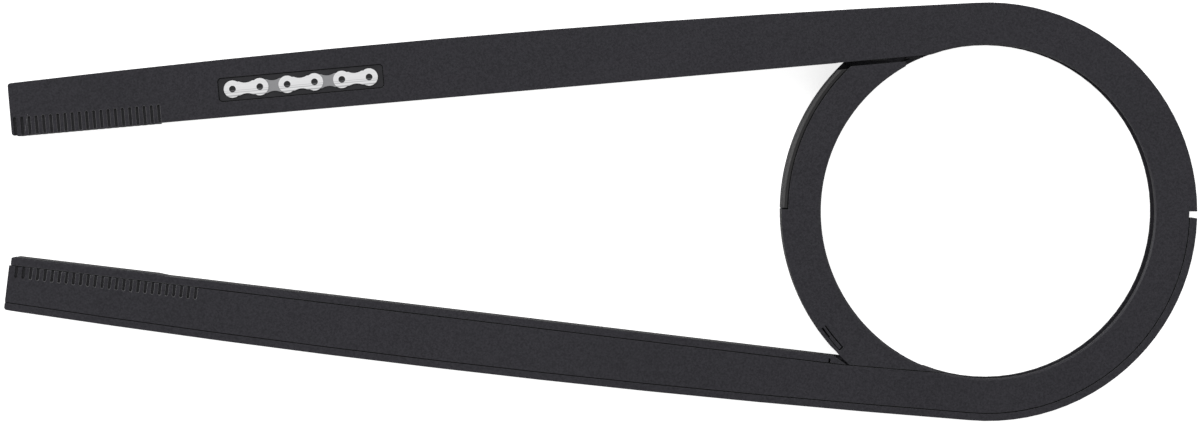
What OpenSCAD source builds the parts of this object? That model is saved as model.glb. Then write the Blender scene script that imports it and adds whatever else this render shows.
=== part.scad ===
// Front section of a floating bicycle chain guard. Two moulded shells close round the chain and the
// chainring from the drive side and from the frame side, and two short arcs close the ring between the
// arms. The guard lies on its frame side. X runs forward along the line from the rear axle to the
// chainring, Y runs from the lower chain run to the upper one, and Z is the thickness. The origin is on
// the chainring's axis, on the face that the guard lies on.
// Each shell has the edge walls of one arm and of half the ring. Its face on the other arm is seated
// between the lips of the other shell's edge walls, where snap hooks hold it.

/* [Chainring and chain] */
// Pitch of the drive chain
chain_pitch = 12.7; // [12.5:0.1:13]
// Teeth of the chainring that the guard is made for
chainring_teeth = 38; // [37:1:40]
// Ring's outer edge, outside the chainring's pitch circle
ring_cover = 10.1; // [9.6:0.1:12]
// Ring's hole, inside the chainring's pitch circle
ring_lap = 7.5; // [6.5:0.1:8.2]
// Outer edge of the arcs between the arms, outside the pitch circle
arc_cover = 8.9; // [8.6:0.1:9.6]

/* [Arms] */
// Distance from the ring's centre back to the mouths of the arms
arm_reach = 406; // [370:1:430]
// Angle between an arm's inner edge and the centre line
arm_tilt = 5.94; // [5.6:0.02:6.2]
// Inner edge of an arm above the ring's centre, inside the pitch circle
arm_drop = 9.4; // [9:0.1:9.8]
// Height of an arm at its mouth
mouth_h = 21.9; // [20.5:0.1:24]
// Radius of the gentle bow of an arm's outer edge
bow_r = 5600; // [4800:100:7000]
// Radius of the rounded corners at the mouths
mouth_corner_r = 1.2; // [0.6:0.1:2]
// How far the inner edge wall stops short of the mouth
inner_wall_back = 0.6; // [0.2:0.1:2]
// How far the inner edge wall stops short of the arcs
inner_wall_gap = 2.9; // [1.5:0.1:5]
// Angle of its slanted end against the inner edge
inner_wall_slant = 29; // [25:1:60]

/* [Walls] */
// Width of the closed case, from the drive-side face to the frame-side face
case_w = 18; // [17:0.5:22]
// Thickness of the side faces
face_t = 2; // [1.6:0.1:2.4]
// Thickness of the edge walls
wall_t = 2.2; // [1.8:0.1:2.6]
// Width of the lip of an edge wall, beside the seated face
lip_w = 3; // [2.7:0.1:3.4]
// Gap at the seam between a lip and the seated face
seam_gap = 0.3; // [0.2:0.05:0.5]
// How far the ledge under a seated face reaches in from the lip
ledge_w = 1.6; // [1.2:0.1:2]
// Thickness of that ledge
ledge_t = 1.2; // [1:0.1:1.5]
// Play between surfaces that seat on each other
seat_play = 0.1; // [0.05:0.05:0.2]
// Opening between the edge walls of the two shells at the front of the ring
front_notch = 2.8; // [2:0.1:4]
// Bevel round the ring's hole
hole_bevel = 0.7; // [0.4:0.1:1]
// Width of the bead that stiffens the face round the hole
bead_w = 1.8; // [1.2:0.1:2.6]
// How far that bead stands inwards from the face
bead_t = 0.8; // [0.4:0.1:1.2]

/* [Snap hooks] */
// Distance between the hooks along a seated face
hook_pitch = 62; // [50:1:75]
// Length of one hook
hook_l = 8; // [5:0.5:12]
// Thickness of a hook's stem
hook_t = 1.2; // [1:0.1:1.6]
// How far a hook's barb reaches under the ledge
barb_w = 0.9; // [0.6:0.1:1.1]
// Height of that barb
barb_h = 0.8; // [0.6:0.1:1.2]
// Width of the notch in a lip where the shells are prised apart
pry_w = 0.8; // [0.6:0.1:1.2]
// Length of that notch
pry_l = 1.8; // [1:0.1:2.4]
// Distance of that notch from the arcs
pry_back = 4.2; // [3.5:0.1:8]

/* [Detent ribs] */
// Distance from one rib to the next
rib_pitch = 3; // [2.5:0.1:3.5]
// Width of the groove between two ribs
groove_w = 1.3; // [1:0.1:1.8]
// Depth of the grooves
groove_d = 0.7; // [0.4:0.1:1]
// Ribs on the arm that has this shell's edge walls
edge_ribs = 20; // [12:1:24]
// Length of those ribs, up from the arm's inner edge
edge_rib_l = 7.7; // [6:0.1:9]
// How far those ribs stand out from the inner edge
edge_rib_proud = 0.4; // [0.2:0.1:0.6]
// Distance from the mouth to the groove before the first of those ribs
edge_rib_start = 1.7; // [1.5:0.1:4]
// Ribs on the arm whose face is seated in the other shell
face_ribs = 26; // [16:1:30]
// Length of those ribs, in from the seam
face_rib_l = 4.9; // [4:0.1:6]
// Distance from the mouth to the groove after the first of those ribs
face_rib_start = 3.3; // [2.5:0.1:5]

/* [Arcs between the arms] */
// Thickness of an arc's edge wall
arc_wall_t = 1.3; // [1.1:0.1:1.5]
// Width of that wall's lip
arc_lip_w = 2.5; // [2.3:0.1:2.8]
// Hooks on the seated half of an arc
arc_hooks = 2; // [1:1:3]
// Distance behind the ring's centre where the seam of an arc meets the hole
seam_end_back = 16; // [14:0.5:20]
// Gap between an arc's free end and the arm beside it
arc_end_gap = 1.9; // [1.2:0.1:2.6]
// Distance behind the ring's centre where the tip of the free end is cut off
arc_tip_back = 35; // [32:0.5:38]
// How far an arc's edge wall stops short of the arm
arc_wall_gap = 2.9; // [2:0.1:5]
// Length of a tab that reaches from an arc under the shell's face
tab_l = 7; // [5:0.5:9]
// How far a tab reaches past the seam
tab_reach = 3; // [2:0.1:4]

/* [Latches] */
// Angle from the rear centre line to the middle of a latch head
latch_angle = 41.5; // [36:0.1:43]
// Length of the latch head along the arc
latch_head_l = 6.4; // [5:0.1:7]
// Width of the latch head
latch_head_w = 1.4; // [1.2:0.1:1.6]
// Length of the spring beam behind the head
latch_beam_l = 5; // [4:0.1:7]
// Width of the spring beam
latch_beam_w = 0.9; // [0.7:0.1:1]
// Width of the slots beside the beam and round the head
latch_slot_w = 0.5; // [0.4:0.05:0.6]

/* [Badge] */
// Length of the badge panel
badge_l = 69; // [60:1:76]
// Height of the badge panel
badge_h = 10; // [9:0.1:11]
// Distance from the arm's inner edge to the middle of the badge
badge_up = 11.3; // [10.5:0.1:12.5]
// Distance of the badge behind the ring's centre
badge_back = 286.3; // [270:0.1:300]
// Depth of the recess that it sits in
badge_recess = 0.8; // [0.5:0.1:1]
// Thickness of the panel
panel_t = 0.4; // [0.3:0.1:0.6]
// Play round the badge panel
panel_play = 0.3; // [0.2:0.05:0.5]
// Links in the relief
link_count = 5; // [3:1:5]
// Distance between the pins of a link
link_pitch = 11.4; // [10:0.1:12]
// Height of a link
link_h = 7.2; // [6:0.1:8]
// Height of its waist
link_waist = 4.4; // [3.6:0.1:5]
// Thickness of the outer links
link_t = 0.6; // [0.4:0.1:0.8]
// Step from the outer links down to the inner ones
link_step = 0.2; // [0.1:0.05:0.3]
// Diameter of a link's pin
pin_d = 2.8; // [2:0.1:3.4]

/* [Hidden] */

SHELL_COLOUR = "#3b3b3f";
ARC_COLOUR = "#3e3e42";
PANEL_COLOUR = "#2e2e31";
LINK_COLOUR = "#e4e5e7";

// A length past any cut face, and a length past the whole part
over = 1;
far = 60;

// Circles of the ring, all about the chainring's axis
pitch_r = chain_pitch / (2 * sin(180 / chainring_teeth));
ring_r = pitch_r + ring_cover;
hole_r = pitch_r - ring_lap;
arc_r = pitch_r + arc_cover;

// Height of the upper arm's inner edge at a place along X, moved into the arm by a distance
function inner_edge(x, inset = 0) = pitch_r - arm_drop + x * tan(arm_tilt) + inset / cos(arm_tilt);
// Corners of the upper arm's mouth, on the inner and on the outer edge
mouth_in = [-arm_reach, inner_edge(-arm_reach)];
mouth_out = mouth_in + mouth_h * [-sin(arm_tilt), cos(arm_tilt)];
// The outer edge is a long arc through the mouth's corner that runs smoothly into the ring
mouth_dist = norm(mouth_out);
bow_k = (mouth_dist * mouth_dist - 2 * bow_r * ring_r + ring_r * ring_r) / (2 * (bow_r - ring_r));
bow_angle = atan2(-mouth_out[0], mouth_out[1]) - acos(-bow_k / mouth_dist);
bow_centre = (bow_r - ring_r) * [sin(bow_angle), -cos(bow_angle)];
bow_start = -ring_r * sin(bow_angle);

// Where an arm's inner edge meets the outer edge of the arcs, and how far that is from the mouth
edge_foot = (pitch_r - arm_drop) * cos(arm_tilt);
junction_x = -edge_foot * sin(arm_tilt) - sqrt(arc_r * arc_r - edge_foot * edge_foot) * cos(arm_tilt);
junction_l = (arm_reach + junction_x) / cos(arm_tilt);
junction_angle = atan2(inner_edge(junction_x), -junction_x);

// Inset of a seated face, and its seam with an arc, which runs from the junction to the hole
seated = lip_w + seam_gap;
seam_start = [junction_x, inner_edge(junction_x, seated)];
seam_end = [-seam_end_back, sqrt(hole_r * hole_r - seam_end_back * seam_end_back)];
seam_slope = (seam_end[1] - seam_start[1]) / (seam_end[0] - seam_start[0]);

// Depths below a face: the ledge under a seated face, and the hooks that hold it
ledge_z = face_t + seat_play;
barb_z = ledge_z + ledge_t + seat_play;
hook_z = barb_z + barb_h;
// From a seated face's edge in to the back of a hook's barb
hook_in = ledge_w - seam_gap + seat_play;

// Radii on an arc: the seated face, and the two sides of the latch head
arc_seat_r = arc_r - arc_lip_w - seam_gap;
latch_out_r = arc_r - arc_wall_t - seam_gap;
latch_in_r = latch_out_r - latch_head_w;

// Swaps the two arms of a flat outline
module other_arm() {
    mirror([0, 1]) children();
}

// Turns a drive-side piece over into the frame-side one that matches it
module turned_over() {
    translate([0, 0, case_w]) rotate([180, 0, 0]) children();
}

// Flat outline made into a layer from one depth below the drive-side face to another
module layer(from, to) {
    translate([0, 0, case_w - to]) linear_extrude(to - from) children();
}

// Everything above the centre line, moved off it by a distance
module upper_half(off = 0) {
    translate([-arm_reach - far, off]) square([arm_reach + far + 2 * ring_r, 2 * ring_r]);
}

// Outline of the arms and the ring, moved in by a distance, with the gap between the arms still closed
module case_outline(inset = 0) {
    circle(r = ring_r - inset, $fn = 360);
    intersection() {
        translate(bow_centre) circle(r = bow_r - inset, $fn = 2880);
        other_arm() translate(bow_centre) circle(r = bow_r - inset, $fn = 2880);
        translate([-arm_reach - far, -ring_r]) square([arm_reach + far + bow_start, 2 * ring_r]);
    }
}

// Upper half of the gap between the arms, widened into the arm by a distance
module arm_gap(inset = 0) {
    back = -arm_reach - far;
    front = -hole_r * 0.3;
    polygon([[back, -over], [back, inner_edge(back, inset)], [front, inner_edge(front, inset)], [front, -over]]);
}

// Upper half of the gap that a seated face leaves: past the junction its edge is the seam with an arc
module seated_gap(inset) {
    back = -arm_reach - far;
    shift = inset - seated;
    end_x = seam_end[0] / 2;
    polygon([
        [back, -over],
        [back, inner_edge(back, inset)],
        [seam_start[0], seam_start[1] + shift],
        [end_x, seam_end[1] + seam_slope * (end_x - seam_end[0]) + shift],
        [end_x, -over]
    ]);
}

// Places things along the upper arm's inner edge, moved into the arm: x runs forward from the mouth
module along_inner_edge(inset = 0) {
    translate([mouth_in[0] - inset * sin(arm_tilt), mouth_in[1] + inset * cos(arm_tilt)])
        rotate([0, 0, arm_tilt]) children();
}

// What a rounded corner removes from a square one at the origin
module corner_waste(r) {
    difference() {
        translate([-over, -over]) square(r + over);
        translate([r, r]) circle(r = r, $fn = 48);
    }
}

// What lies behind the upper arm's mouth, with the mouth's rounded corners
module behind_mouth(round_inner = true) {
    along_inner_edge() {
        translate([-2 * far, -far]) square([2 * far, 2 * far + mouth_h]);
        translate([0, mouth_h]) mirror([0, 1]) corner_waste(mouth_corner_r);
        if (round_inner) corner_waste(mouth_corner_r);
    }
}

// Edge wall along the outer edge of an arm and half the ring, at a given thickness
module outer_wall(t) {
    difference() {
        intersection() {
            case_outline();
            upper_half(front_notch / 2);
        }
        case_outline(t);
        behind_mouth();
    }
}

// Edge wall along an arm's inner edge. It ends in a slant, clear of the arcs
module inner_wall(t) {
    front = junction_l - inner_wall_gap;
    difference() {
        along_inner_edge() polygon([
            [inner_wall_back, 0], [front, 0], [front + t / tan(inner_wall_slant), t], [inner_wall_back, t]
        ]);
        circle(r = arc_r + seam_gap, $fn = 360);
    }
}

// One layer of both edge walls of a shell
module wall_layer(t, from, to) {
    layer(from, to) {
        outer_wall(t);
        inner_wall(t);
    }
}

// Side face of a shell: full width on its own arm, and seated between the lips on the other arm
module shell_face() {
    difference() {
        union() {
            intersection() {
                case_outline();
                upper_half(front_notch / 2);
            }
            case_outline(seated);
        }
        circle(r = hole_r, $fn = 360);
        arm_gap();
        other_arm() seated_gap(seated);
        behind_mouth();
        other_arm() behind_mouth(false);
    }
}

// Bead along the hole's edge on the inner side of a face
module hole_bead() {
    layer(face_t - over / 2, face_t + bead_t) intersection() {
        children();
        circle(r = hole_r + bead_w, $fn = 360);
    }
}

// What the bevel of the hole's outer edge removes
module hole_bevel_waste() {
    translate([0, 0, case_w - hole_bevel])
        cylinder(h = hole_bevel + over, r1 = hole_r, r2 = hole_r + hole_bevel + over, $fn = 360);
}

// Grooves between the detent ribs. They run in from an edge and have round ends
module rib_grooves(start, count, len) {
    for (i = [0 : count - 1])
        translate([start + i * rib_pitch, 0]) {
            translate([-groove_w / 2, -over]) square([groove_w, len - groove_w / 2 + over]);
            translate([0, len - groove_w / 2]) circle(d = groove_w, $fn = 24);
        }
}

// Ribs where they stand out from the inner edge
module proud_ribs() {
    rib_w = rib_pitch - groove_w;
    for (i = [0 : edge_ribs - 1])
        translate([edge_rib_start + i * rib_pitch + groove_w / 2, -edge_rib_proud])
            square([rib_w, edge_rib_proud + wall_t / 2]);
}

// Snap hook that hangs from a seated face whose edge runs along x, with the ledge on the side of +y.
// On a curved edge it moves in, so that its corners keep their play
module snap_hook(edge_r = 0) {
    in = hook_in + (edge_r > 0 ? edge_r - sqrt(edge_r * edge_r - hook_l * hook_l / 4) : 0);
    root = face_t / 2;
    translate([-hook_l / 2, -in - hook_t, case_w - hook_z]) cube([hook_l, hook_t, hook_z - root]);
    // The barb is flat where it catches the ledge, and slanted below so that it can slip past
    translate([hook_l / 2, -in, case_w - barb_z]) rotate([0, -90, 0]) linear_extrude(hook_l)
        polygon([[0, -hook_t / 2], [0, barb_w], [-barb_h / 2, barb_w], [-barb_h, 0], [-barb_h, -hook_t / 2]]);
}

// Hooks of the seated arm and the seated half of the ring
module shell_hooks() {
    arm_n = floor((junction_l - 2 * hook_l) / hook_pitch);
    bow_step = hook_pitch / bow_r * 180 / PI;
    ring_n = floor(ring_r * PI / 2 / hook_pitch);
    ring_step = 90 / max(1, ring_n);
    mirror([0, 1, 0]) {
        for (i = [0 : arm_n - 1]) {
            along_inner_edge(seated) translate([junction_l - 2 * hook_l - i * hook_pitch, 0, 0])
                mirror([0, 1, 0]) snap_hook();
            translate(bow_centre) rotate([0, 0, bow_angle + (i + 0.6) * bow_step])
                translate([0, bow_r - seated, 0]) snap_hook();
        }
        for (i = [0 : ring_n - 1])
            rotate([0, 0, -(i + 0.5) * ring_step]) translate([0, ring_r - seated, 0]) snap_hook(ring_r);
    }
}

// Notch in the lip beside a seated arm, near the arcs
module pry_notch() {
    along_inner_edge() translate([junction_l - pry_back - pry_w, lip_w - pry_l]) square([pry_w, pry_l + over]);
}

// One shell, drawn as the drive-side one without the badge
module shell() {
    ledge_mid = case_w - ledge_z - ledge_t / 2;
    difference() {
        union() {
            layer(0, face_t) shell_face();
            hole_bead() shell_face();
            wall_layer(wall_t, face_t / 2, ledge_mid);
            wall_layer(lip_w + ledge_w, case_w - ledge_z - ledge_t, case_w - ledge_z);
            wall_layer(lip_w, ledge_mid, case_w);
            layer(0, case_w) along_inner_edge() proud_ribs();
            shell_hooks();
        }
        hole_bevel_waste();
        layer(-over, groove_d) {
            along_inner_edge() rib_grooves(edge_rib_start, edge_ribs + 1, edge_rib_l);
            other_arm() along_inner_edge(seated) rib_grooves(face_rib_start, face_ribs, face_rib_l);
        }
        layer(case_w - ledge_z, case_w + over) pry_notch();
    }
}

// Places the badge's pieces on the drive-side face
module at_badge() {
    translate([-badge_back, inner_edge(-badge_back, badge_up), 0]) rotate([0, 0, arm_tilt]) children();
}

// Flat outline with rounded corners, centred on the origin
module rounded_rect(l, h, r) {
    square([l, h - 2 * r], center = true);
    square([l - 2 * r, h], center = true);
    for (x = [-1, 1], y = [-1, 1])
        translate([x * (l / 2 - r), y * (h / 2 - r)]) circle(r = r, $fn = 32);
}

module drive_side_shell() {
    color(SHELL_COLOUR) difference() {
        shell();
        at_badge() layer(-over, badge_recess) rounded_rect(badge_l, badge_h, 1.6);
    }
}

module frame_side_shell() {
    color(SHELL_COLOUR) turned_over() shell();
}

// Outline of an arc between the arms: full width below the centre line, and seated above it
module arc_face() {
    difference() {
        intersection() {
            union() {
                circle(r = arc_seat_r, $fn = 360);
                intersection() {
                    circle(r = arc_r, $fn = 360);
                    other_arm() upper_half(seam_gap);
                }
            }
            union() {
                other_arm() seated_gap(lip_w);
                intersection() {
                    arm_gap(-arc_end_gap);
                    translate([-2 * ring_r, -over]) square([2 * ring_r - arc_tip_back, 2 * ring_r]);
                }
            }
        }
        circle(r = hole_r, $fn = 360);
    }
}

// Edge wall of an arc, below the centre line, at a given thickness
module arc_wall(t) {
    other_arm() difference() {
        intersection() {
            circle(r = arc_r, $fn = 360);
            arm_gap(-arc_wall_gap);
            upper_half(seam_gap);
        }
        circle(r = arc_r - t, $fn = 360);
    }
}

// A piece of a ring about the origin, between two radii and two angles from the X axis
module ring_sector(r0, r1, from, to) {
    difference() {
        circle(r = r1, $fn = 360);
        circle(r = r0, $fn = 360);
        rotate([0, 0, to]) translate([-2 * r1, 0]) square([4 * r1, 2 * r1]);
        rotate([0, 0, from]) translate([-2 * r1, -2 * r1]) square([4 * r1, 2 * r1]);
    }
}

// Slots that free the latch from the arc's face
module latch_slots() {
    turn = 180 / PI / latch_out_r;
    neck = 180 + latch_angle - latch_head_l / 2 * turn;
    tip = neck + latch_head_l * turn;
    root = neck - latch_beam_l * turn;
    slot_a = latch_slot_w * turn;
    beam_out_r = latch_in_r + latch_beam_w;
    // Along the inner side, round the tip and along the outer side of the head
    ring_sector(latch_in_r - latch_slot_w, latch_in_r, root, tip + slot_a);
    ring_sector(latch_in_r - latch_slot_w, latch_out_r + seam_gap, tip, tip + slot_a);
    ring_sector(latch_out_r, latch_out_r + seam_gap, neck, tip + slot_a);
    // Between the spring beam and the edge wall
    ring_sector(beam_out_r, latch_out_r + seam_gap, root, neck);
}

// Hooks on the seated half of an arc
module arc_snap_hooks() {
    for (i = [1 : arc_hooks])
        rotate([0, 0, 90 - junction_angle * (i - 0.4) / (arc_hooks + 0.4)])
            translate([0, arc_seat_r, 0]) snap_hook(arc_seat_r);
}

// Tabs at the seated end of an arc. They reach under the face of the shell beside it
module arc_tabs() {
    run = seam_end[0] - seam_start[0];
    for (i = [1, 2])
        translate([seam_start[0] + run * i / 3, -seam_start[1] - seam_slope * run * i / 3, 0])
            rotate([0, 0, -atan(seam_slope)]) {
                translate([-tab_l / 2, -tab_reach, case_w - ledge_z - ledge_t])
                    cube([tab_l, 2 * tab_reach, ledge_t]);
                translate([-tab_l / 2, seam_gap + seat_play, case_w - ledge_z - ledge_t / 2])
                    cube([tab_l, tab_reach - seam_gap - seat_play, ledge_t]);
            }
}

// One arc, drawn as the drive-side one
module ring_arc() {
    ledge_mid = case_w - ledge_z - ledge_t / 2;
    difference() {
        union() {
            layer(0, face_t) arc_face();
            hole_bead() arc_face();
            layer(face_t / 2, ledge_mid) arc_wall(arc_wall_t);
            layer(case_w - ledge_z - ledge_t, case_w - ledge_z) arc_wall(arc_lip_w + ledge_w);
            layer(ledge_mid, case_w) arc_wall(arc_lip_w);
            arc_snap_hooks();
            arc_tabs();
        }
        hole_bevel_waste();
        layer(-over, face_t + over) latch_slots();
    }
}

module drive_side_arc() {
    color(ARC_COLOUR) ring_arc();
}

module frame_side_arc() {
    color(ARC_COLOUR) turned_over() ring_arc();
}

// Flat panel in the recess of the drive-side face
module badge_panel() {
    color(PANEL_COLOUR) at_badge() layer(badge_recess - panel_t, badge_recess)
        rounded_rect(badge_l - 2 * panel_play, badge_h - 2 * panel_play, 1.3);
}

// Outline of one link between two pins
module link_outline() {
    waist_r = link_pitch / 2;
    difference() {
        union() {
            square([link_pitch, link_h * 0.8], center = true);
            for (x = [-1, 1]) translate([x * link_pitch / 2, 0]) circle(d = link_h, $fn = 64);
        }
        for (y = [-1, 1]) translate([0, y * (link_waist / 2 + waist_r)]) circle(r = waist_r, $fn = 96);
    }
}

// Relief of a plain roller chain: outer links, inner links one step lower, and the pins
module badge_links() {
    base = badge_recess - panel_t;
    first = -(link_count - 1) / 2 * link_pitch;
    color(LINK_COLOUR) at_badge() difference() {
        for (i = [0 : link_count - 1])
            translate([first + i * link_pitch, 0, 0])
                layer(base - link_t + (i % 2) * link_step, base) link_outline();
        for (i = [0 : link_count])
            translate([first + (i - 0.5) * link_pitch, 0, 0])
                layer(base - link_t - over, base - link_t / 2) circle(d = pin_d, $fn = 32);
    }
}

drive_side_shell();
frame_side_shell();
drive_side_arc();
frame_side_arc();
badge_panel();
badge_links();
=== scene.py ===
"""Looks of a moulded bicycle chain guard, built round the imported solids.

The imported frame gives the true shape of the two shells, the two ring arcs and the badge. This
script dresses every piece in a node material that also softens its moulded edges, and lights the
guard as it lies flat on a pale table, seen from above. It also adds the few small forms that the
solids lack: the face corners at the mouths of the arms, a rail along the lower arm's ribs, and the
lap and catches behind the slits of the arcs.
"""

from __future__ import annotations

import logging
import math
from dataclasses import dataclass, replace
from enum import Enum

import bmesh
import bpy
from mathutils import Matrix, Vector

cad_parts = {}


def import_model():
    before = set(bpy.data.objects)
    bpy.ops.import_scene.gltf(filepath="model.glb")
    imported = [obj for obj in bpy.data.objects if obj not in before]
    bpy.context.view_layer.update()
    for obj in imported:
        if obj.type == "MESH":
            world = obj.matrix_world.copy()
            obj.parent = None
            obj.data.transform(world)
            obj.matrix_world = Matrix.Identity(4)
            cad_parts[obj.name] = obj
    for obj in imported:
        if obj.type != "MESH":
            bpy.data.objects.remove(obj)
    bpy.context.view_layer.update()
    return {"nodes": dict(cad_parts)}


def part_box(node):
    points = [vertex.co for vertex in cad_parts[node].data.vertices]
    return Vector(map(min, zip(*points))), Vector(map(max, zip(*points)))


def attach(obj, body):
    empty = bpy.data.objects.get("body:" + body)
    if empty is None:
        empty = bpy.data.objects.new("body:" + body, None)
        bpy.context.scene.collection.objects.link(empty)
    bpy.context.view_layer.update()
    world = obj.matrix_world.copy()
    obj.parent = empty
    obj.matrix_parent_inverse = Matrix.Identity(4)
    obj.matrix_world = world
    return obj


LOG = logging.getLogger("chain_guard")

Colour = tuple[float, float, float]
Point = tuple[float, float, float]
Flat = tuple[float, float]

MM = 0.001
CASE_WIDTH_MM = 18.0
ARM_TILT_DEG = 5.94
NOISE_SPAN = (0.3, 0.7)
NOISE_CORE = (0.32, 0.68)


class Side(Enum):
    """The two sides of the closed guard."""

    DRIVE = "drive_side"
    FRAME = "frame_side"


class NodeBuilder:
    """Short way to add and join the nodes of one material."""

    def __init__(self, name: str) -> None:
        """Start a material that holds only its output and one Principled shader.

        Args:
            name: Name of the new material.
        """
        self.material = bpy.data.materials.new(name)
        self.material.use_nodes = True
        self.tree = self.material.node_tree
        self.tree.nodes.clear()
        self.output = self.add("ShaderNodeOutputMaterial")
        self.shader = self.add("ShaderNodeBsdfPrincipled")
        self.join(self.shader, "BSDF", self.output, "Surface")

    def add(self, kind: str, **settings: object) -> bpy.types.Node:
        """Add one node.

        Args:
            kind: Blender's name of the node type.
            **settings: Attributes of the node, or values of its input sockets by name.

        Returns:
            The new node.
        """
        node = self.tree.nodes.new(kind)
        for key, value in settings.items():
            if hasattr(node, key):
                setattr(node, key, value)
            else:
                node.inputs[key.replace("_", " ")].default_value = value
        return node

    def join(self, source: bpy.types.Node, out: str | int,
             target: bpy.types.Node, into: str | int) -> None:
        """Link one socket to another.

        Args:
            source: Node that gives the value.
            out: Name or number of its output socket.
            target: Node that takes the value.
            into: Name or number of its input socket.
        """
        self.tree.links.new(source.outputs[out], target.inputs[into])

    def object_point(self) -> bpy.types.Node:
        """Return a node whose Object output is the place on the guard, in metres."""
        return self.add("ShaderNodeTexCoord")

    def noise(self, per_metre: float, detail: float = 2.0,
              roughness: float = 0.5) -> bpy.types.Node:
        """Add a noise texture that is fixed to the guard.

        Args:
            per_metre: Features of the noise in one metre.
            detail: Octaves of finer noise.
            roughness: Strength of the finer octaves.

        Returns:
            The noise node.
        """
        node = self.add("ShaderNodeTexNoise")
        node.inputs["Scale"].default_value = per_metre
        node.inputs["Detail"].default_value = detail
        node.inputs["Roughness"].default_value = roughness
        self.join(self.object_point(), "Object", node, "Vector")
        return node

    def remap(self, source: bpy.types.Node, out: str | int, low: float, high: float,
              new_low: float, new_high: float) -> bpy.types.Node:
        """Turn one range of values into another.

        Args:
            source: Node that gives the value.
            out: Its output socket.
            low: Value that becomes new_low.
            high: Value that becomes new_high.
            new_low: Lowest result.
            new_high: Highest result.

        Returns:
            The Map Range node.
        """
        node = self.add("ShaderNodeMapRange")
        limits = {"From Min": low, "From Max": high, "To Min": new_low, "To Max": new_high}
        for key, value in limits.items():
            node.inputs[key].default_value = value
        self.join(source, out, node, "Value")
        return node

    def reach(self, direction: Point) -> bpy.types.Node:
        """Add a value that says how far a place lies from the guard's origin along a direction.

        Args:
            direction: The direction, of length 1.

        Returns:
            The node, whose Value is in metres.
        """
        node = self.add("ShaderNodeVectorMath", operation="DOT_PRODUCT")
        self.join(self.object_point(), "Object", node, 0)
        node.inputs[1].default_value = direction
        return node

    def product(self, first: bpy.types.Node, second: bpy.types.Node) -> bpy.types.Node:
        """Multiply the first outputs of two nodes.

        Args:
            first: Node that gives one value.
            second: Node that gives the other value.

        Returns:
            The Math node.
        """
        node = self.add("ShaderNodeMath", operation="MULTIPLY")
        self.join(first, 0, node, 0)
        self.join(second, 0, node, 1)
        return node

    def soft_edges(self, radius_mm: float) -> bpy.types.Node:
        """Add a node whose normal runs round the small radius that moulding leaves on every edge.

        Args:
            radius_mm: Radius of the edges.

        Returns:
            The Bevel node.
        """
        return self.add("ShaderNodeBevel", samples=8, Radius=radius_mm * MM)

    def edge_share(self, edges: bpy.types.Node, full: float,
                   least: float = 0.995) -> bpy.types.Node:
        """Add a value that is 0 on flat faces and rises to 1 on the edges.

        Args:
            edges: The Bevel node.
            full: Cosine of the bend at which the value is 1.
            least: Cosine of the bend up to which the value is 0.

        Returns:
            The Map Range node.
        """
        face = self.add("ShaderNodeNewGeometry")
        bend = self.add("ShaderNodeVectorMath", operation="DOT_PRODUCT")
        self.join(edges, "Normal", bend, 0)
        self.join(face, "Normal", bend, 1)
        return self.remap(bend, "Value", full, least, 1.0, 0.0)

    def wall_share(self, upright: float = 0.3, level: float = 0.7) -> bpy.types.Node:
        """Add a value that is 0 on the side faces of the guard and 1 on its edge walls.

        Args:
            upright: Height of the normal up to which a surface is a wall.
            level: Height of the normal from which it is a face.

        Returns:
            The Map Range node.
        """
        face = self.add("ShaderNodeNewGeometry")
        parts = self.add("ShaderNodeSeparateXYZ")
        self.join(face, "Normal", parts, 0)
        height = self.add("ShaderNodeMath", operation="ABSOLUTE")
        self.join(parts, "Z", height, 0)
        return self.remap(height, "Value", upright, level, 1.0, 0.0)

    def mix_colours(self, factor: bpy.types.Node, out: str | int, first: Colour | bpy.types.Node,
                    second: Colour | bpy.types.Node) -> bpy.types.Node:
        """Blend two colours by a factor.

        Args:
            factor: Node that gives the factor, 0 to 1.
            out: Its output socket.
            first: Colour at 0, or the Mix node that gives it.
            second: Colour at 1, or the Mix node that gives it.

        Returns:
            The Mix node, whose colour output is number 2.
        """
        node = self.add("ShaderNodeMix", data_type="RGBA")
        for socket, colour in ((6, first), (7, second)):
            if isinstance(colour, bpy.types.Node):
                self.join(colour, 2, node, socket)
            else:
                node.inputs[socket].default_value = (*colour, 1.0)
        self.join(factor, out, node, 0)
        return node

    def mix_values(self, factor: bpy.types.Node, first: tuple[bpy.types.Node, str | int],
                   second: float) -> bpy.types.Node:
        """Blend a value that varies with a fixed one.

        Args:
            factor: Map Range node that gives the factor, 0 to 1.
            first: Node and output socket of the value at 0.
            second: Value at 1.

        Returns:
            The Mix node, whose value output is number 0.
        """
        node = self.add("ShaderNodeMix", data_type="FLOAT")
        self.join(factor, "Result", node, 0)
        self.join(*first, node, 2)
        node.inputs[3].default_value = second
        return node


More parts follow.
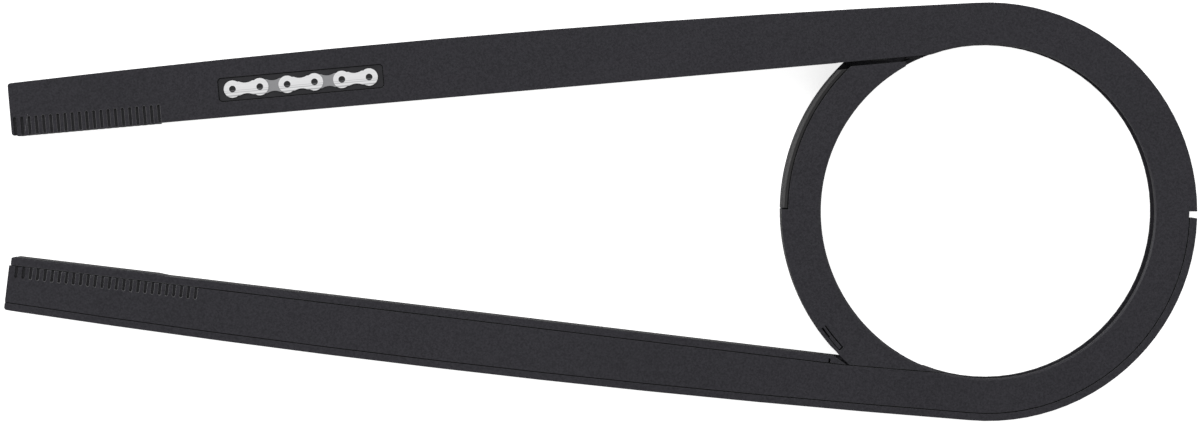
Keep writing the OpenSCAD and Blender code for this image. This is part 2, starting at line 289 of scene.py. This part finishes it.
@dataclass(frozen=True)
class MouldedPlastic:
    """Black injection-moulded plastic with a fine spark-eroded grain, smoother worn edges, and
    painted shade and highlights.
    """

    name: str
    deep: Colour
    worn: Colour
    # Colour of the painted shade on the edges
    painted_edge_shade: Colour
    roughness: float
    specular: float
    roughness_spread: float = 0.07
    edge_mm: float = 0.32
    edge_bend: float = 0.85
    edge_roughness: float = 0.3
    cloud_per_m: float = 22.0
    blotch_per_m: float = 1300.0
    blotch_share: float = 0.85
    cloud_share: float = 0.15
    grain_per_m: float = 2600.0
    grain_mm: float = 0.1
    grain_strength: float = 0.6
    # Colour of the painted shade in the grooves and seams, and the reach and openness that limit it
    crevice_shade: Colour = (0.002, 0.002, 0.0025)
    crevice_shade_reach_mm: float = 1.6
    crevice_shade_openness: tuple[float, float] = (0.45, 0.95)
    # Colour of the painted shade on the edge walls
    painted_wall_shade: Colour = (0.0075, 0.0073, 0.0088)
    wall_roughness: float = 0.95
    # Colour of the painted highlight on the edges of the ribs
    painted_rib_highlight: Colour = (0.12, 0.12, 0.126)
    ribs_start_mm: float = -327.0
    ribs_reach_mm: float = 76.3
    rib_fades_mm: tuple[float, float] = (1.0, 0.6)
    arm_tilt_deg: float = ARM_TILT_DEG
    lip: Side | None = None
    # Colour of the painted highlight on the crown of the lip, and where it shows
    painted_lip_highlight: Colour = (0.042, 0.041, 0.042)
    painted_lip_highlight_limits: tuple[float, float] = (0.3, 0.9)
    lip_radii_mm: tuple[float, float] = (83.2, 85.9)
    lip_depth_mm: float = 0.6
    lip_gain: float = 3.0
    crown_mm: float = 0.45
    case_width_mm: float = CASE_WIDTH_MM

    def rib_share(self, nodes: NodeBuilder) -> bpy.types.Node:
        """Add a value that is 1 at the detent ribs on the arms' inner edges, and 0 elsewhere.

        Args:
            nodes: The material that is being built.

        Returns:
            The node that gives the value.
        """
        fade_x, fade_in = self.rib_fades_mm
        behind = nodes.remap(nodes.reach((1.0, 0.0, 0.0)), "Value",
                             (self.ribs_start_mm - fade_x) * MM, self.ribs_start_mm * MM, 1.0, 0.0)
        folded = nodes.add("ShaderNodeVectorMath", operation="ABSOLUTE")
        nodes.join(nodes.object_point(), "Object", folded, 0)
        into = nodes.add("ShaderNodeVectorMath", operation="DOT_PRODUCT")
        nodes.join(folded, "Vector", into, 0)
        tilt = math.radians(self.arm_tilt_deg)
        into.inputs[1].default_value = (math.sin(tilt), math.cos(tilt), 0.0)
        inside = nodes.remap(into, "Value", self.ribs_reach_mm * MM,
                             (self.ribs_reach_mm + fade_in) * MM, 1.0, 0.0)
        return nodes.product(behind, inside)

    def lip_share(self, nodes: NodeBuilder) -> bpy.types.Node:
        """Add a value that rises to the middle of the lip round an arc, on the face where it shows.

        Args:
            nodes: The material that is being built.

        Returns:
            The node that gives the value.
        """
        flat = nodes.add("ShaderNodeVectorMath", operation="MULTIPLY")
        nodes.join(nodes.object_point(), "Object", flat, 0)
        flat.inputs[1].default_value = (1.0, 1.0, 0.0)
        radius = nodes.add("ShaderNodeVectorMath", operation="LENGTH")
        nodes.join(flat, "Vector", radius, 0)
        low, high = (r * MM for r in self.lip_radii_mm)
        rise = nodes.add("ShaderNodeMath", operation="PINGPONG")
        nodes.join(nodes.remap(radius, "Value", low, high, 0.0, 2.0), "Result", rise, 0)
        rise.inputs[1].default_value = 1.0
        depth, width = self.lip_depth_mm * MM, self.case_width_mm * MM
        if self.lip is Side.DRIVE:
            heights = (width - depth, width, 0.0, self.lip_gain)
        else:
            heights = (0.0, depth, self.lip_gain, 0.0)
        shows = nodes.remap(nodes.reach((0.0, 0.0, 1.0)), "Value", *heights)
        return nodes.product(rise, shows)

    def tone(self, nodes: NodeBuilder, blotch: bpy.types.Node, walls: bpy.types.Node,
             edge: bpy.types.Node) -> bpy.types.Node:
        """Mix the colour: faces, painted shade on the edge walls, in the grooves and seams and on
        the edges, and a painted highlight on the rib edges.

        Args:
            nodes: The material that is being built.
            blotch: Noise of the grain's blotches.
            walls: Value that is 1 on the edge walls.
            edge: Value that is 1 on the edges.

        Returns:
            The Mix node, whose colour output is number 2.
        """
        # Blotches of the grain, and the slow cloudiness of the moulding
        cloud = nodes.noise(self.cloud_per_m, 3.0, 0.55)
        blend = nodes.add("ShaderNodeMath", operation="ADD", use_clamp=True)
        for socket, noise, share in ((0, blotch, self.blotch_share), (1, cloud, self.cloud_share)):
            nodes.join(nodes.remap(noise, "Fac", *NOISE_CORE, 0.0, share), "Result", blend, socket)
        faces = nodes.mix_colours(blend, "Value", self.deep, self.worn)
        # Painted shade darkens the edge walls
        drawn = nodes.mix_colours(walls, "Result", faces, self.painted_wall_shade)
        # Painted shade darkens the grooves and seams
        crevice = nodes.add("ShaderNodeAmbientOcclusion", samples=6, only_local=True,
                            Distance=self.crevice_shade_reach_mm * MM)
        narrow = nodes.remap(crevice, "AO", *self.crevice_shade_openness, 1.0, 0.0)
        crevice_shaded = nodes.mix_colours(narrow, "Result", drawn, self.crevice_shade)
        # Painted shade darkens the edges, and a painted highlight lightens the edges of the ribs
        painted_edge_tone = nodes.mix_colours(self.rib_share(nodes), "Value", self.painted_edge_shade, self.painted_rib_highlight)
        return nodes.mix_colours(edge, "Result", crevice_shaded, painted_edge_tone)

    def sheen(self, nodes: NodeBuilder, blotch: bpy.types.Node, walls: bpy.types.Node,
              edge: bpy.types.Node) -> bpy.types.Node:
        """Mix the roughness: uneven on the faces, smoother on worn edges, dull on the edge walls.

        Args:
            nodes: The material that is being built.
            blotch: Noise of the grain's blotches.
            walls: Value that is 1 on the edge walls.
            edge: Value that is 1 on the edges.

        Returns:
            The Mix node, whose value output is number 0.
        """
        faces = nodes.remap(blotch, "Fac", *NOISE_SPAN, self.roughness - self.roughness_spread,
                            self.roughness + self.roughness_spread)
        worn = nodes.mix_values(edge, (faces, "Result"), self.edge_roughness)
        return nodes.mix_values(walls, (worn, 0), self.wall_roughness)

    def relief(self, nodes: NodeBuilder, edges: bpy.types.Node,
               lip: bpy.types.Node | None) -> bpy.types.Node:
        """Lay the grain's small pits over the softened edges, and over the crown of a lip.

        Args:
            nodes: The material that is being built.
            edges: The Bevel node.
            lip: Value that rises to the middle of the lip, or None where there is no lip.

        Returns:
            The Bump node.
        """
        under = edges
        if lip is not None:
            under = nodes.add("ShaderNodeBump", Strength=1.0, Distance=self.crown_mm * MM)
            nodes.join(lip, 0, under, "Height")
            nodes.join(edges, "Normal", under, "Normal")
        pits = nodes.add("ShaderNodeBump", Strength=self.grain_strength,
                         Distance=self.grain_mm * MM)
        nodes.join(nodes.noise(self.grain_per_m), "Fac", pits, "Height")
        nodes.join(under, "Normal", pits, "Normal")
        return pits

    def material(self) -> bpy.types.Material:
        """Build the node material.

        Returns:
            The finished material.
        """
        nodes = NodeBuilder(self.name)
        shader = nodes.shader
        shader.inputs["Specular IOR Level"].default_value = self.specular
        edges = nodes.soft_edges(self.edge_mm)
        edge = nodes.edge_share(edges, self.edge_bend)
        walls = nodes.wall_share()
        blotch = nodes.noise(self.blotch_per_m, 2.0, 0.6)
        lip = self.lip_share(nodes) if self.lip else None
        shown = self.tone(nodes, blotch, walls, edge)
        # A painted highlight lightens the crown of the lip
        if lip is not None:
            lit_lip = nodes.remap(lip, 0, *self.painted_lip_highlight_limits, 0.0, 1.0)
            shown = nodes.mix_colours(lit_lip, "Result", shown, self.painted_lip_highlight)
        nodes.join(shown, 2, shader, "Base Color")
        nodes.join(self.sheen(nodes, blotch, walls, edge), 0, shader, "Roughness")
        nodes.join(self.relief(nodes, edges, lip), "Normal", shader, "Normal")
        return nodes.material


@dataclass(frozen=True)
class SatinPanel:
    """Smooth satin black of the badge's panel, with faint smudges."""

    name: str
    colour: Colour
    roughness: float
    specular: float = 0.3
    edge_mm: float = 0.12
    smudge_per_m: float = 210.0
    smudge_gain: float = 1.5
    roughness_spread: tuple[float, float] = (0.05, 0.08)

    def material(self) -> bpy.types.Material:
        """Build the node material.

        Returns:
            The finished material.
        """
        nodes = NodeBuilder(self.name)
        shader = nodes.shader
        shader.inputs["Specular IOR Level"].default_value = self.specular
        smudge = nodes.noise(self.smudge_per_m, 3.0, 0.6)
        smudged = tuple(self.smudge_gain * c for c in self.colour)
        nodes.join(nodes.mix_colours(smudge, "Fac", self.colour, smudged), 2, shader, "Base Color")
        less, more = self.roughness_spread
        rough = nodes.remap(smudge, "Fac", *NOISE_SPAN,
                            self.roughness - less, self.roughness + more)
        nodes.join(rough, "Result", shader, "Roughness")
        nodes.join(nodes.soft_edges(self.edge_mm), "Normal", shader, "Normal")
        return nodes.material


@dataclass(frozen=True)
class SilverFoil:
    """Silver foil, hot-stamped on the relief.

    It is bright on the outer links and thin on the inner ones, and the pins have none.
    """

    name: str
    bright: Colour
    thin: Colour
    bare: Colour
    roughness: float
    pin_z: float
    inner_z: float
    outer_z: float
    tilt_deg: float
    middle: float
    metallic: float = 0.35
    step_mm: float = 0.02
    streaks_per_m: float = 1500.0
    streak_limits: tuple[float, float] = (0.5, 0.62)
    streak_share: float = 0.75
    streak_band_mm: tuple[float, float] = (-1.2, 0.6)
    roughness_spread: tuple[float, float] = (0.06, 0.08)

    def above(self, nodes: NodeBuilder, height: bpy.types.Node, lower_z: float,
              upper_z: float) -> bpy.types.Node:
        """Add a value that changes from 0 to 1 halfway between two heights.

        Args:
            nodes: The material that is being built.
            height: Node that gives the height on the guard.
            lower_z: Height of the lower surface.
            upper_z: Height of the upper surface.

        Returns:
            The Map Range node.
        """
        middle, half = (lower_z + upper_z) / 2, self.step_mm * MM
        return nodes.remap(height, "Z", middle - half, middle + half, 0.0, 1.0)

    def material(self) -> bpy.types.Material:
        """Build the node material.

        Returns:
            The finished material.
        """
        nodes = NodeBuilder(self.name)
        shader = nodes.shader
        shader.inputs["Metallic"].default_value = self.metallic
        place = nodes.add("ShaderNodeSeparateXYZ")
        nodes.join(nodes.object_point(), "Object", place, 0)
        links = nodes.mix_colours(self.above(nodes, place, self.inner_z, self.outer_z), "Result",
                                  self.thin, self.bright)
        foil = nodes.mix_colours(self.above(nodes, place, self.pin_z, self.inner_z), "Result",
                                 self.bare, links)
        # Fine streaks of the stamping run along the links, on their lower half
        tilt = math.radians(self.tilt_deg)
        across = nodes.reach((-math.sin(tilt), math.cos(tilt), 0.0))
        strip = nodes.add("ShaderNodeCombineXYZ")
        rows = nodes.remap(across, "Value", 0.0, 1.0, 0.0, self.streaks_per_m)
        nodes.join(rows, "Result", strip, 1)
        streaks = nodes.add("ShaderNodeTexNoise", Scale=1.0, Detail=1.0)
        nodes.join(strip, "Vector", streaks, "Vector")
        start, end = (self.middle + edge * MM for edge in self.streak_band_mm)
        lower = nodes.remap(across, "Value", start, end, 1.0, 0.0)
        patch = nodes.product(
            nodes.remap(streaks, "Fac", *self.streak_limits, 0.0, self.streak_share), lower)
        nodes.join(nodes.mix_colours(patch, "Value", foil, self.thin), 2, shader, "Base Color")
        less, more = self.roughness_spread
        rough = nodes.remap(streaks, "Fac", *NOISE_SPAN,
                            self.roughness - less, self.roughness + more)
        nodes.join(rough, "Result", shader, "Roughness")
        return nodes.material


@dataclass(frozen=True)
class StudioPaper:
    """White paper of the table: it reads as plain white and keeps a soft shadow."""

    name: str
    paper: Colour = (0.8, 0.8, 0.8)
    roughness: float = 0.9
    lift: float = 0.76

    def material(self) -> bpy.types.Material:
        """Build the node material.

        Returns:
            The finished material.
        """
        nodes = NodeBuilder(self.name)
        nodes.shader.inputs["Base Color"].default_value = (*self.paper, 1.0)
        nodes.shader.inputs["Roughness"].default_value = self.roughness
        nodes.shader.inputs["Specular IOR Level"].default_value = 0.0
        path = nodes.add("ShaderNodeLightPath")
        seen = nodes.add("ShaderNodeMath", operation="MAXIMUM")
        nodes.join(path, "Is Camera Ray", seen, 0)
        nodes.join(path, "Is Glossy Ray", seen, 1)
        lift = nodes.add("ShaderNodeMath", operation="MULTIPLY")
        nodes.join(seen, "Value", lift, 0)
        lift.inputs[1].default_value = self.lift
        glow = nodes.add("ShaderNodeEmission")
        nodes.join(lift, "Value", glow, "Strength")
        both = nodes.add("ShaderNodeAddShader")
        nodes.join(nodes.shader, "BSDF", both, 0)
        nodes.join(glow, "Emission", both, 1)
        nodes.join(both, "Shader", nodes.output, "Surface")
        return nodes.material


@dataclass(frozen=True)
class ArmPlan:
    """Flat plan of one arm at its mouth, laid along the arm's inner edge, in millimetres."""

    reach: float = 406.0
    tilt_deg: float = ARM_TILT_DEG
    edge_height: float = 67.496
    case_width: float = CASE_WIDTH_MM

    def place(self, along: float, into: float, depth: float, upper: bool, side: Side) -> Point:
        """Find a point of an arm in the guard's frame.

        Args:
            along: Distance from the mouth along the arm's inner edge.
            into: Distance from that edge into the arm.
            depth: Depth below the face of the given side.
            upper: True for the upper arm.
            side: Side whose face the depth is measured from.

        Returns:
            The point, in metres.
        """
        tilt = math.radians(self.tilt_deg)
        mouth_height = self.edge_height - self.reach * math.tan(tilt)
        x = -self.reach + along * math.cos(tilt) - into * math.sin(tilt)
        y = mouth_height + along * math.sin(tilt) + into * math.cos(tilt)
        z = self.case_width - depth if side is Side.DRIVE else depth
        return (x * MM, (y if upper else -y) * MM, z * MM)


@dataclass
class MouthCorner:
    """Corner of a side face at the mouth of an arm, with the first grooves of the detent ribs.

    On the arm that has the side's own edge walls it reaches the inner edge, and on the other arm
    it is seated inside the lip. Sizes are in millimetres.
    """

    side: Side
    seated: bool
    plan: ArmPlan = ArmPlan()
    face_thickness: float = 2.0
    groove_depth: float = 0.7
    groove_width: float = 1.3
    groove_end_steps: int = 8
    own_grooves: tuple[float, float] = (1.7, 4.7)
    own_groove_reach: float = 7.7
    own_length: float = 7.05
    seated_grooves: tuple[float, float] = (3.3, 6.3)
    seated_groove_reach: float = 8.2
    seated_length: float = 7.4
    seat: float = 3.3
    mouth_width: float = 10.2
    far_width: float = 8.7
    corner_radius: float = 1.2
    corner_turns_deg: tuple[float, ...] = (0.0, 15.0, 30.0, 45.0, 60.0, 75.0)
    cover_gap: float = 0.004

    @property
    def cover(self) -> float:
        """Height over the face round it, or under that face on the frame side, inside the box."""
        return self.cover_gap if self.side is Side.DRIVE else -self.cover_gap

    @property
    def name(self) -> str:
        """Name of the piece."""
        return f"{self.side.value}_mouth_corner_{'seated' if self.seated else 'own'}"

    @property
    def upper(self) -> bool:
        """True where the corner is on the upper arm."""
        return (self.side is Side.DRIVE) != self.seated

    @property
    def edge(self) -> float:
        """Distance of the corner's side from the arm's inner edge."""
        return self.seat if self.seated else 0.0

    @property
    def length(self) -> float:
        """Length of the corner along the arm."""
        return self.seated_length if self.seated else self.own_length

    def grooves(self) -> list[Flat]:
        """List the outline of the grooves, which open to the corner's side and have round ends.

        Returns:
            The corners of the outline, in order.
        """
        places = self.seated_grooves if self.seated else self.own_grooves
        half = self.groove_width / 2
        bottom = (self.seated_groove_reach if self.seated else self.own_groove_reach) - half
        steps = self.groove_end_steps
        turns = [math.pi * (1.0 - i / steps) for i in range(1, steps)]
        points: list[Flat] = []
        for place in places:
            points += [(place - half, self.edge), (place - half, bottom)]
            points += [(place + half * math.cos(a), bottom + half * math.sin(a)) for a in turns]
            points.append((place + half, bottom))
            if place + half < self.length:
                points.append((place + half, self.edge))
        return points

    def outline(self, grooved: bool) -> list[Flat]:
        """List the corner's outline, in millimetres along and into the arm.

        Args:
            grooved: True for the layer that the grooves cut.

        Returns:
            The corners of the outline, in order.
        """
        points: list[Flat] = [(0.0, self.mouth_width)]
        if self.seated:
            points.append((0.0, self.edge))
        else:
            # The first groove takes the last of the rounding
            r, turns = self.corner_radius, map(math.radians, self.corner_turns_deg)
            points += [(r - r * math.cos(a), r - r * math.sin(a)) for a in turns]
        if grooved:
            points += self.grooves()
        if not grooved or self.seated:
            points.append((self.length, self.edge))
        points.append((self.length, self.far_width))
        return points

    def build(self) -> bpy.types.Object:
        """Build the corner as a lower and an upper layer.

        Returns:
            The finished piece.
        """
        layers = (
            (self.outline(False), self.groove_depth - self.cover, self.face_thickness),
            (self.outline(True), -self.cover, self.groove_depth),
        )
        return solid_layers(self.name, [
            ([self.plan.place(*point, top, self.upper, self.side) for point in flat],
             [self.plan.place(*point, bottom, self.upper, self.side) for point in flat])
            for flat, top, bottom in layers
        ])


@dataclass
class EdgeRail:
    """Smooth rail over the ribs on the lower arm's inner edge. Sizes are in millimetres."""

    name: str = "frame_side_edge_rail"
    plan: ArmPlan = ArmPlan()
    start: float = 1.0
    end: float = 66.0
    ramps: tuple[float, float] = (1.3, 4.8)
    proud: float = 0.41
    root: float = 0.05
    depth: float = 17.99
    cover: float = 0.004

    def build(self) -> bpy.types.Object:
        """Build the rail.

        Returns:
            The finished piece.
        """
        flat = [(self.start, self.root), (self.start + self.ramps[0], -self.proud),
                (self.end - self.ramps[1], -self.proud), (self.end, self.root)]
        return solid_layers(self.name, [tuple(
            [self.plan.place(*point, depth, False, Side.DRIVE) for point in flat]
            for depth in (-self.cover, self.depth))])


@dataclass
class RingSector:
    """Short curved bar about the ring's centre, in millimetres: a lap or a catch behind a slit."""

    name: str
    inner: float
    outer: float
    start_deg: float
    end_deg: float
    low: float
    high: float
    steps: int = 8

    def build(self) -> bpy.types.Object:
        """Build the bar.

        Returns:
            The finished piece.
        """
        span = self.end_deg - self.start_deg
        turns = [math.radians(self.start_deg + span * i / self.steps)
                 for i in range(self.steps + 1)]
        flat = [(self.outer * math.cos(a), self.outer * math.sin(a)) for a in turns]
        flat += [(self.inner * math.cos(a), self.inner * math.sin(a)) for a in reversed(turns)]
        return solid_layers(self.name, [(
            [(x * MM, y * MM, self.high * MM) for x, y in flat],
            [(x * MM, y * MM, self.low * MM) for x, y in flat],
        )])


def solid_layers(name: str, layers: list[tuple[list[Point], list[Point]]]) -> bpy.types.Object:
    """Make one piece from flat layers, each between two outlines with the same corners.

    Args:
        name: Name of the piece.
        layers: Upper and lower outline of each layer.

    Returns:
        The new piece.
    """
    mesh = bpy.data.meshes.new(name)
    form = bmesh.new()
    for upper, lower in layers:
        top = [form.verts.new(point) for point in upper]
        bottom = [form.verts.new(point) for point in lower]
        form.faces.new(top)
        form.faces.new(reversed(bottom))
        count = len(top)
        for i in range(count):
            form.faces.new((top[i], bottom[i], bottom[(i + 1) % count], top[(i + 1) % count]))
    bmesh.ops.recalc_face_normals(form, faces=form.faces[:])
    form.to_mesh(mesh)
    form.free()
    piece = bpy.data.objects.new(name, mesh)
    bpy.context.scene.collection.objects.link(piece)
    return piece


@dataclass
class HalfShell:
    """One of the two long shells that close round the chain, with its corners at the mouths."""

    side: Side
    trim_edge_mm: float = 0.05

    @property
    def node(self) -> str:
        """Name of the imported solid."""
        return f"{self.side.value}_shell"

    def build(self) -> list[bpy.types.Object]:
        """Build the face's corners at the mouths, and on the frame side the rail over the ribs.

        Returns:
            The finished pieces.
        """
        pieces = [MouthCorner(self.side, seated).build() for seated in (False, True)]
        if self.side is Side.FRAME:
            pieces.append(EdgeRail().build())
        for piece in pieces:
            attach(piece, "root")
            LOG.info("built %s", piece.name)
        return pieces

    def dress(self, nodes: dict[str, bpy.types.Object], trims: list[bpy.types.Object],
              finish: MouldedPlastic) -> None:
        """Give the shell and its small trims their finish.

        Args:
            nodes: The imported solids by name.
            trims: The shell's corners and rail.
            finish: The plastic that it is moulded in.
        """
        coat(nodes[self.node], finish.material())
        smooth = replace(finish, name=f"{finish.name}_corner", edge_mm=self.trim_edge_mm).material()
        for trim in trims:
            coat(trim, smooth)
        LOG.info("dressed %s", self.node)


@dataclass
class RingArc:
    """One of the two short arcs that close the ring between the arms.

    Behind its slits lie a catch and the lap. Sizes are in millimetres, and turns in degrees about
    the ring's centre.
    """

    side: Side
    inner: float = 80.5
    outer: float = 85.7
    catch_turns: tuple[float, float] = (37.0, 45.5)
    catch_depths: tuple[float, float] = (3.7, 5.2)
    lap_inner: float = 83.3
    lap_turns: tuple[float, float] = (179.65, 180.35)
    lap_heights: tuple[float, float] = (2.5, 15.5)
    case_width: float = CASE_WIDTH_MM

    @property
    def node(self) -> str:
        """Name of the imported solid."""
        return f"{self.side.value}_arc"

    def build(self) -> list[bpy.types.Object]:
        """Build the catch beside the arc's tip, and on the drive side the lap of the edge walls.

        Returns:
            The finished pieces.
        """
        near, far = self.catch_turns
        shallow, deep = self.catch_depths
        if self.side is Side.DRIVE:
            span = (180.0 + near, 180.0 + far, self.case_width - deep, self.case_width - shallow)
        else:
            span = (180.0 - far, 180.0 - near, shallow, deep)
        bars = [RingSector(f"{self.side.value}_catch", self.inner, self.outer, *span)]
        if self.side is Side.DRIVE:
            bars.append(RingSector(
                "arc_lap", self.lap_inner, self.outer, *self.lap_turns, *self.lap_heights))
        pieces = [bar.build() for bar in bars]
        for piece in pieces:
            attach(piece, "root")
            LOG.info("built %s", piece.name)
        return pieces

    def dress(self, nodes: dict[str, bpy.types.Object], bars: list[bpy.types.Object],
              finish: MouldedPlastic) -> None:
        """Give the arc and its bars their finish.

        Args:
            nodes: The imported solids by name.
            bars: The arc's catch and lap.
            finish: The plastic that it is moulded in.
        """
        shows_on = Side.FRAME if self.side is Side.DRIVE else Side.DRIVE
        lipped = replace(finish, name=f"{finish.name}_{self.side.value}", lip=shows_on)
        coat(nodes[self.node], lipped.material())
        for bar in bars:
            coat(bar, finish.material())
        LOG.info("dressed %s", self.node)


@dataclass
class Badge:
    """Recessed panel on the drive side with a plain relief of chain links."""

    inner_step_mm: float = 0.2
    pin_depth_mm: float = 0.3
    tilt_deg: float = ARM_TILT_DEG

    def dress(self, nodes: dict[str, bpy.types.Object]) -> None:
        """Dress the panel in satin black and the relief in silver foil.

        Args:
            nodes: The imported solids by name.
        """
        satin = SatinPanel("badge_satin", colour=(0.0155, 0.0153, 0.0175), roughness=0.38)
        low, high = (Vector(corner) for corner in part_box("badge_links"))
        middle, tilt = (low + high) / 2, math.radians(self.tilt_deg)
        foil = SilverFoil(
            "badge_foil", bright=(0.84, 0.84, 0.85), thin=(0.3, 0.3, 0.31),
            bare=(0.02, 0.02, 0.022), roughness=0.36, pin_z=high.z - self.pin_depth_mm * MM,
            inner_z=high.z - self.inner_step_mm * MM, outer_z=high.z, tilt_deg=self.tilt_deg,
            middle=middle.y * math.cos(tilt) - middle.x * math.sin(tilt),
        )
        for node, finish in (("badge_panel", satin), ("badge_links", foil)):
            coat(nodes[node], finish.material())
            LOG.info("dressed %s", node)


@dataclass(frozen=True)
class Lamp:
    """Large soft square lamp, in metres and watts."""

    name: str
    place: Point
    size: float
    watts: float

    def hang(self, aim: Point) -> None:
        """Hang the lamp and turn it to a point.

        Args:
            aim: The point that it faces.
        """
        light = bpy.data.lights.new(self.name, "AREA")
        light.shape = "SQUARE"
        light.size = self.size
        light.energy = self.watts
        lamp = bpy.data.objects.new(self.name, light)
        bpy.context.scene.collection.objects.link(lamp)
        lamp.location = self.place
        lamp.rotation_euler = (Vector(aim) - lamp.location).to_track_quat("-Z", "Y").to_euler()


@dataclass
class Studio:
    """Pale table, soft lights and the camera above the guard."""

    stand: tuple[float, float] = (-0.175, 0.036)
    distance: float = 2.0
    photo_width_px: float = 1200.0
    mm_per_px: float = 0.4155
    middle: tuple[float, float] = (-0.16118, -0.00239)
    turn_deg: float = 0.88
    face_height: float = CASE_WIDTH_MM * MM
    sensor_mm: float = 36.0
    clip: tuple[float, float] = (0.05, 30.0)
    table_half: float = 4.0
    table_drop_mm: float = 0.05
    room_glow: float = 0.45
    backdrop_glow: float = 1.0
    lamps: tuple[Lamp, ...] = (
        Lamp("upper_left", place=(-1.2, 1.5, 1.5), size=1.2, watts=22.0),
        Lamp("upper_right", place=(1.0, 1.3, 1.5), size=1.2, watts=14.0),
        Lamp("low_front", place=(-0.3, -1.6, 1.4), size=1.2, watts=8.0),
        Lamp("low_left", place=(-2.0, 0.5, 0.4), size=0.9, watts=16.0),
    )

    def lay_table(self) -> None:
        """Put the white table under the guard."""
        mesh = bpy.data.meshes.new("table")
        half = self.table_half
        corners = [(-half, -half, 0.0), (half, -half, 0.0), (half, half, 0.0), (-half, half, 0.0)]
        mesh.from_pydata(corners, [], [(0, 1, 2, 3)])
        table = bpy.data.objects.new("table", mesh)
        bpy.context.scene.collection.objects.link(table)
        table.location.z = -self.table_drop_mm * MM
        coat(table, StudioPaper("studio_paper").material())

    def light(self) -> None:
        """Light the guard softly from all round, a little more from its upper left."""
        for lamp in self.lamps:
            lamp.hang((*self.middle, 0.0))
        world = bpy.data.worlds.new("studio")
        bpy.context.scene.world = world
        world.use_nodes = True
        tree = world.node_tree
        tree.nodes.clear()
        out = tree.nodes.new("ShaderNodeOutputWorld")
        path = tree.nodes.new("ShaderNodeLightPath")
        mix = tree.nodes.new("ShaderNodeMixShader")
        tree.links.new(path.outputs["Is Camera Ray"], mix.inputs[0])
        for socket, strength in ((1, self.room_glow), (2, self.backdrop_glow)):
            glow = tree.nodes.new("ShaderNodeBackground")
            glow.inputs["Color"].default_value = (1.0, 1.0, 1.0, 1.0)
            glow.inputs["Strength"].default_value = strength
            tree.links.new(glow.outputs[0], mix.inputs[socket])
        tree.links.new(mix.outputs[0], out.inputs["Surface"])

    def aim_camera(self) -> None:
        """Set the camera above the guard, with the frame moved a little off its axis."""
        width = self.photo_width_px * self.mm_per_px * MM
        turn = Matrix.Rotation(math.radians(self.turn_deg), 4, "Z")
        data = bpy.data.cameras.new("camera")
        data.sensor_fit = "HORIZONTAL"
        data.sensor_width = self.sensor_mm
        data.lens = self.sensor_mm * self.distance / width
        offset = turn.inverted() @ Vector((
            self.middle[0] - self.stand[0], self.middle[1] - self.stand[1], 0.0))
        data.shift_x, data.shift_y = offset.x / width, offset.y / width
        data.clip_start, data.clip_end = self.clip
        camera = bpy.data.objects.new("camera", data)
        bpy.context.scene.collection.objects.link(camera)
        height = self.face_height + self.distance
        camera.matrix_world = Matrix.Translation((*self.stand, height)) @ turn
        bpy.context.scene.camera = camera
        bpy.context.scene.view_settings.view_transform = "Standard"


def coat(piece: bpy.types.Object, material: bpy.types.Material) -> None:
    """Give every material slot of a piece one material.

    Args:
        piece: The piece.
        material: The material that covers it.
    """
    if not piece.material_slots:
        piece.data.materials.append(material)
        return
    for each in piece.material_slots:
        each.material = material


def main() -> None:
    """Load the frame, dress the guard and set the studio."""
    logging.basicConfig(level=logging.INFO, format="%(name)s: %(message)s")
    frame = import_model()
    nodes = frame["nodes"]
    # Each finish gives the colour of the painted shade on its edges
    shell_finish = MouldedPlastic(
        "shell_black", deep=(0.0102, 0.0096, 0.0132), worn=(0.025, 0.0239, 0.03),
        painted_edge_shade=(0.013, 0.013, 0.015), roughness=0.5, specular=0.3,
    )
    arc_finish = MouldedPlastic(
        "arc_black", deep=(0.011, 0.0104, 0.014), worn=(0.0262, 0.0252, 0.0312),
        painted_edge_shade=(0.014, 0.014, 0.016), roughness=0.48, specular=0.3,
    )
    for side in Side:
        shell = HalfShell(side)
        shell.dress(nodes, shell.build(), shell_finish)
        arc = RingArc(side)
        arc.dress(nodes, arc.build(), arc_finish)
    Badge().dress(nodes)
    studio = Studio()
    studio.lay_table()
    studio.light()
    studio.aim_camera()
    LOG.info("set the studio")
    bpy.context.view_layer.update()


if __name__ == "__main__":
    main()
